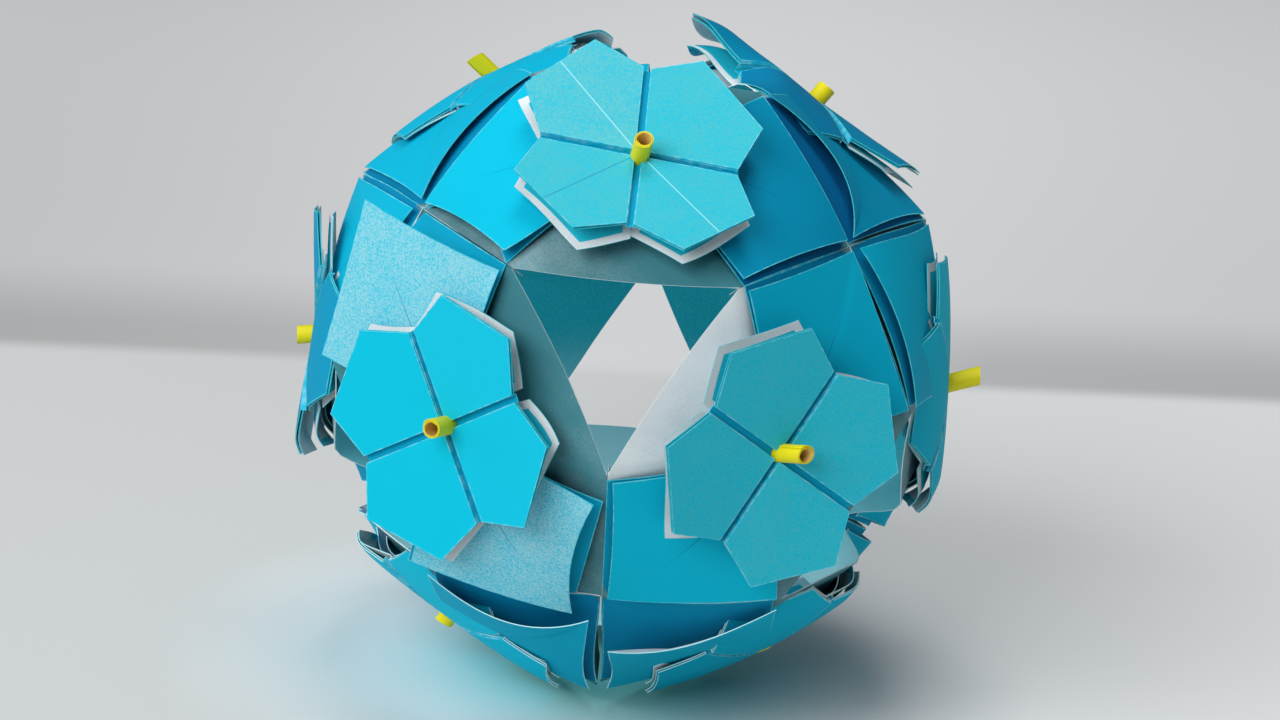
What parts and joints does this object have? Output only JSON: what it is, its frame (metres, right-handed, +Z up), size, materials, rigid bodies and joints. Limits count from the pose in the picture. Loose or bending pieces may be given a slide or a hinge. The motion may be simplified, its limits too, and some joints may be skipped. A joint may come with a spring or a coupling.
{
  "type": "origami hydrangea flower ball",
  "caption": "Hollow ball of folded turquoise paper units glued edge to edge, each with a four-petal flower and a rolled yellow stamen, open on its three-sided faces.",
  "frame": {"origin": "on the surface the ball stands on, under its middle", "axes": "+Z up through the middle of the lowest and the highest opening; -Y towards the opening that faces the viewer; +X to the viewer's right"},
  "size_m": [0.1036, 0.101, 0.0977],
  "materials": {
    "turquoise_paper": "uncoated craft paper, white on its reverse",
    "yellow_paper": "uncoated paper strip, rolled"
  },
  "bodies": {
    "root": {"upper_flower_1": "turquoise_paper", "upper_flower_2": "turquoise_paper", "upper_flower_3": "turquoise_paper", "middle_flower_1": "turquoise_paper", "middle_flower_2": "turquoise_paper", "middle_flower_3": "turquoise_paper", "middle_flower_4": "turquoise_paper", "middle_flower_5": "turquoise_paper", "middle_flower_6": "turquoise_paper", "lower_flower_1": "turquoise_paper", "lower_flower_2": "turquoise_paper", "lower_flower_3": "turquoise_paper", "upper_stamen_1": "yellow_paper", "upper_stamen_2": "yellow_paper", "upper_stamen_3": "yellow_paper", "middle_stamen_1": "yellow_paper", "middle_stamen_2": "yellow_paper", "middle_stamen_3": "yellow_paper", "middle_stamen_4": "yellow_paper", "middle_stamen_5": "yellow_paper", "middle_stamen_6": "yellow_paper", "lower_stamen_1": "yellow_paper", "lower_stamen_2": "yellow_paper", "lower_stamen_3": "yellow_paper"}
  },
  "joints": []
}
